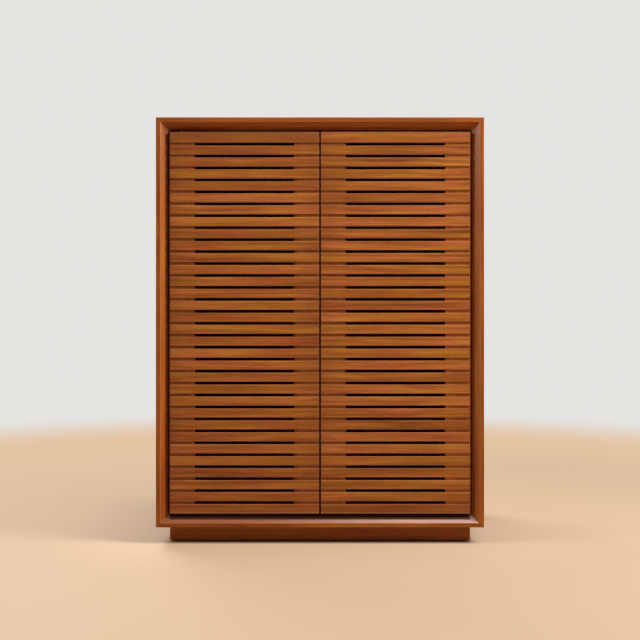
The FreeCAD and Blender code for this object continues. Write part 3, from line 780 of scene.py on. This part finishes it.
# Screws: a flat head with a cross recess, a cone under it and a threaded shank with a point.
screw = {
    "headRadius": 3.5 * mm,
    "shankRadius": 1.75 * mm,
    "coreRadius": 1.3 * mm,
    "rim": 0.15 * mm,
    "threadPitch": 1.5 * mm,
    "plainLength": 3.5 * mm,
    "pointLength": 4 * mm,
    "crossReach": 2.0 * mm,
    "crossHalf": 0.42 * mm,
    "crossDepth": 1.3 * mm,
    "crossEdge": 0.16 * mm,
    "crossFade": 0.55,  # how much shallower the cross is at its ends
    "ridgePower": 1.5,  # the thread's sharpness
    "columns": 40,
    "faceRows": 20,
    "rowsPerTurn": 6,
}
screwAxes = {
    "back_panel_screws": "y",
    "plinth_screws": "z",
    "latch_screws": "z",
    "case_pivot_screws": "z",
    "left_door_pivot_screws": "z",
    "right_door_pivot_screws": "z",
    "left_strike_screw": "y",
    "right_strike_screw": "y",
}


def screwShape(length):
    angle = np.linspace(0, math.tau, screw["columns"], endpoint=False)
    whole = np.ones(len(angle))

    def within(distance, limit):  # 1 inside the limit, easing to 0 outside
        share = np.clip((limit - distance) / screw["crossEdge"] + 0.5, 0, 1)
        return share * share * (3 - 2 * share)

    # head face: depth = mask of the cross, times a depth that fades outwards
    faceRadius = np.linspace(0, screw["headRadius"] - screw["rim"], screw["faceRows"])
    x, y = np.abs(np.outer(faceRadius, np.cos(angle))), np.abs(np.outer(faceRadius, np.sin(angle)))
    upright = within(x, screw["crossHalf"]) * within(y, screw["crossReach"])
    level = within(y, screw["crossHalf"]) * within(x, screw["crossReach"])
    fade = 1 - screw["crossFade"] * np.minimum(faceRadius / screw["crossReach"], 1)
    faceDepth = np.maximum(upright, level) * (screw["crossDepth"] * fade)[:, None]

    # shank: radius = core plus a ridge that climbs one thread pitch a turn, tapering to the point
    coneEnd = screw["headRadius"] - screw["shankRadius"]
    rows = round((length - coneEnd) / screw["threadPitch"] * screw["rowsPerTurn"])
    shankDepth = np.linspace(coneEnd, length, rows, endpoint=False)
    turn = shankDepth[:, None] / screw["threadPitch"] - angle / math.tau
    ridge = (1 - np.abs(2 * (turn % 1) - 1)) ** screw["ridgePower"]
    taper = np.clip((length - shankDepth) / screw["pointLength"], 0, 1)[:, None]
    start = np.clip((shankDepth - screw["plainLength"]) / screw["threadPitch"], 0, 1)[:, None]
    threaded = (screw["coreRadius"] + (screw["shankRadius"] - screw["coreRadius"]) * ridge) * taper
    shankRadius = screw["shankRadius"] * (1 - start) + threaded * start

    # the rows in order: the face, the rim's two edges, the shank and the tip
    rimDepth = np.array([1, 2]) * screw["rim"]
    rimRadius = np.full((2, len(angle)), screw["headRadius"])
    radius = np.concatenate([np.outer(faceRadius, whole), rimRadius, shankRadius, 0 * whole[None]])
    depths = [faceDepth, np.outer(rimDepth, whole), np.outer(shankDepth, whole), length * whole[None]]
    depth = np.concatenate(depths)
    return np.stack([radius * np.cos(angle), radius * np.sin(angle), depth], axis=-1)


for node, along in screwAxes.items():
    standIn(node, screwSteel, along, "wide", screwShape)
print("screws cut")

# Shelf pins: a round-nosed pin with a thin collar against the side.
pin = {
    "radius": 2.5 * mm,
    "reach": 10 * mm,
    "collar": 1.2 * mm,
    "collarRadius": 4.5 * mm,
    "ease": 1.2 * mm,
}


def pinShape(length):
    # turned about z: the nose, the pin out to its collar, the collar, and the rest in the side's hole
    outline = [
        (0, 0),
        (pin["radius"], 0),
        (pin["radius"], pin["reach"] - pin["collar"]),
        (pin["collarRadius"], pin["reach"] - pin["collar"]),
        (pin["collarRadius"], pin["reach"]),
        (pin["radius"], pin["reach"]),
        (pin["radius"], length),
        (0, length),
    ]
    return turned(outline, pin["ease"])


standIn("shelf_pins", nickel, "x", "middle", pinShape)

# Floor glides: a pad with a rounded rim and a barbed stem.
glide = {
    "radius": 14 * mm,
    "height": 4 * mm,
    "stem": 3 * mm,
    "barbs": 4,
    "barbDepth": 0.6 * mm,
    "barbShare": 0.9,  # how much of a barb's length slopes
    "ease": 1.3 * mm,
}


def glideShape(length):
    # turned about z: the pad, then a stem whose radius narrows over each barb and starts anew
    step = (length - glide["height"]) / glide["barbs"]
    neck = glide["stem"] - glide["barbDepth"]
    barbs = []
    for i in range(glide["barbs"]):
        foot = glide["height"] + i * step
        barbs += [(glide["stem"], foot), (neck, foot + glide["barbShare"] * step)]
    outline = [(0, 0), (glide["radius"], 0), (glide["radius"], glide["height"]), *barbs, (0, length)]
    return turned(outline, glide["ease"])


standIn("floor_glides", blackNylon, "z", "low", glideShape)

# Pivots: pins with chamfered ends in nylon washers.
pivot = {"pin": 2.5 * mm, "chamfer": 0.6 * mm, "eye": 2.55 * mm, "washer": 4.5 * mm, "ease": 0.4 * mm}


def pivotPinShape(length):
    # turned about z: a rod with a chamfer at either end
    inner = pivot["pin"] - pivot["chamfer"]
    outline = [
        (0, 0),
        (inner, 0),
        (pivot["pin"], pivot["chamfer"]),
        (pivot["pin"], length - pivot["chamfer"]),
        (inner, length),
        (0, length),
    ]
    return turned(outline, pivot["ease"])


def washerShape(length):
    # turned about z: a closed outline from the eye's wall round the ring and back
    outline = [
        (pivot["eye"], length / 2),
        (pivot["eye"], 0),
        (pivot["washer"], 0),
        (pivot["washer"], length),
        (pivot["eye"], length),
        (pivot["eye"], length / 2),
    ]
    return turned(outline, pivot["ease"])


standIn("pivot_washers", blackNylon, "z", "low", washerShape)
for side in ("left", "right"):
    standIn(f"{side}_pivot_pins", darkSteel, "z", "low", pivotPinShape)

# Push latches: a plunger with a soft round nose, which meets a dished strike plate on the door.
plunger = {"radius": 4 * mm, "nose": 5 * mm, "noseLength": 4 * mm, "ease": 1.6 * mm}
strike = {"radius": 8 * mm, "hole": 2.05 * mm, "headHole": 3.55 * mm, "ease": 0.5 * mm}


def plungerShape(length):
    # turned about z: the wide rounded nose, then the stem
    outline = [
        (0, 0),
        (plunger["nose"], 0),
        (plunger["nose"], plunger["noseLength"]),
        (plunger["radius"], plunger["noseLength"]),
        (plunger["radius"], length),
        (0, length),
    ]
    return turned(outline, plunger["ease"])


def strikeShape(length):
    # turned about z: a closed outline whose hole narrows from the screw's head to its shank
    outline = [
        (strike["headHole"], 0),
        (strike["radius"], 0),
        (strike["radius"], length),
        (strike["hole"], length),
        (strike["headHole"], 0),
    ]
    return turned(outline, strike["ease"])


for side in ("left", "right"):
    standIn(f"{side}_latch_plunger", blackPlastic, "y", "low", plungerShape)
    standIn(f"{side}_strike_plate", brightSteel, "y", "high", strikeShape)
print("pins, glides and latch pieces turned")

# Stage: a pale floor that turns up into a pale wall all round. Away from the cabinet's foot, camera,
# glossy and transmission rays see more and more of its plain colour, and the lamps light the cabinet.
stage = {
    "radius": 5.6,
    "turn": 1.2,
    "top": 6.5,
    "columns": 72,
    "turnRows": 16,
    "floor": tint(176, 148, 120),
    "floorGlow": tint(228, 196, 163),
    "wall": tint(229, 228, 226),
    "wallPaint": tint(120, 118, 115),
    "roughness": 0.7,
    "cloudWaves": 1.5,
    "cloudBase": 0.985,
    "cloudShade": 0.03,
    "near": 0.35,  # how far from the foot the floor shows this share of its own plain colour
    "nearShare": 0.5,
    "far": 1.8,  # and all of it
    "turnStart": 2.2,  # where the floor's colour starts to turn to the wall's
    "turnEnd": 3.6,
}


def stageFinish():
    finish = Finish("stage paint")
    turn = (finish.x * finish.x + finish.y * finish.y).root().rise(stage["turnStart"], stage["turnEnd"])
    shade = stage["cloudBase"] + finish.cloudy(stage["cloudWaves"]) * stage["cloudShade"]
    colour = finish.shaded(finish.blend(turn, stage["floor"], stage["wallPaint"]), shade)
    sockets = {"Base Color": colour, "Roughness": stage["roughness"]}
    paint = finish.node("ShaderNodeBsdfPrincipled", sockets=sockets)
    plain = finish.blend(turn, stage["floorGlow"], stage["wall"])
    glow = finish.node("ShaderNodeEmission", sockets={"Color": plain, "Strength": 1.0})
    # distance from the foot, a rectangle on the floor
    besideX = (finish.x.size() - cadHigh.x).greater(0.0)
    besideY = (finish.y.size() - cadHigh.y).greater(0.0)
    beside = (besideX * besideX + besideY * besideY).root()
    near = beside.rise(0.0, stage["near"], 0.0, stage["nearShare"])
    share = near.greater(beside.rise(0.0, stage["far"]))
    rays = ("Camera", "Glossy", "Transmission")
    seen = [finish.node("ShaderNodeLightPath", output=f"Is {ray} Ray") for ray in rays]
    both = finish.node("ShaderNodeMixShader", sockets={0: share * sum(seen), 1: paint, 2: glow})
    finish.node("ShaderNodeOutputMaterial", sockets={"Surface": both})
    return finish.material


def makeStage():
    # a profile of floor, quarter circle and wall, turned about z
    angle = np.linspace(0, math.pi / 2, stage["turnRows"])
    bend = stage["radius"] - stage["turn"] * (1 - np.sin(angle))
    radius = np.concatenate([[0.0], bend, [stage["radius"]]])
    height = np.concatenate([[0.0], stage["turn"] * (1 - np.cos(angle)), [stage["top"]]])
    around = np.linspace(0, math.tau, stage["columns"], endpoint=False)
    x, y = np.outer(radius, np.cos(around)), np.outer(radius, np.sin(around))
    points = np.stack([x, y, np.outer(height, np.ones(stage["columns"]))], axis=-1)
    gridMesh("stage_sweep", points, stageFinish())


makeStage()

# Light: a soft box high on the right, a weaker one on the left, one behind for the back and the left
# side, a narrow one overhead in front that the polished lower bevel mirrors, and a dim open ceiling.
front = (0.0, -0.22, 0.6)
back = (0.0, 0.2, 0.6)
foot = (0.95, -0.43, 0.0)
lamps = {
    "right": {"place": (1.91, -0.86, 2.25), "aim": front, "size": (1.0, 1.0), "watts": 116},
    "left": {"place": (-2.37, -0.9, 2.3), "aim": front, "size": (1.2, 1.2), "watts": 60},
    "behind": {"place": (-1.8, 2.0, 2.6), "aim": back, "size": (1.6, 1.6), "watts": 95},
    "overhead": {"place": (0.95, -0.43, 4.2), "aim": foot, "size": (1.7, 0.3), "watts": 40},
}
ceiling = {"colour": (1.0, 0.98, 0.95, 1.0), "strength": 0.15}


def makeLamp(name, spec):
    light = bpy.data.lights.new(name, "AREA")
    light.shape = "RECTANGLE"
    light.size, light.size_y = spec["size"]
    light.energy = spec["watts"]
    lamp = bpy.data.objects.new(name, light)
    lamp.location = spec["place"]
    gaze = Vector(spec["aim"]) - Vector(spec["place"])
    lamp.rotation_euler = gaze.to_track_quat("-Z", "Y").to_euler()
    lamp.visible_camera = False
    scene.collection.objects.link(lamp)


for name, spec in lamps.items():
    makeLamp(name, spec)

world = bpy.data.worlds.new("ceiling")
world.use_nodes = True
background = world.node_tree.nodes["Background"]
background.inputs["Color"].default_value = ceiling["colour"]
background.inputs["Strength"].default_value = ceiling["strength"]
scene.world = world

# Camera: level, straight on to the front.
eye = {"distance": 2.6, "height": 0.6236, "lens": 52.54, "sensor": 36}
camera = bpy.data.cameras.new("camera")
camera.lens = eye["lens"]
camera.sensor_width = eye["sensor"]
cameraObject = bpy.data.objects.new("camera", camera)
cameraObject.location = (0.0, cadLow.y - eye["distance"], eye["height"])
cameraObject.rotation_euler = (math.pi / 2, 0, 0)
scene.collection.objects.link(cameraObject)
scene.camera = cameraObject
print("stage, light and camera set")
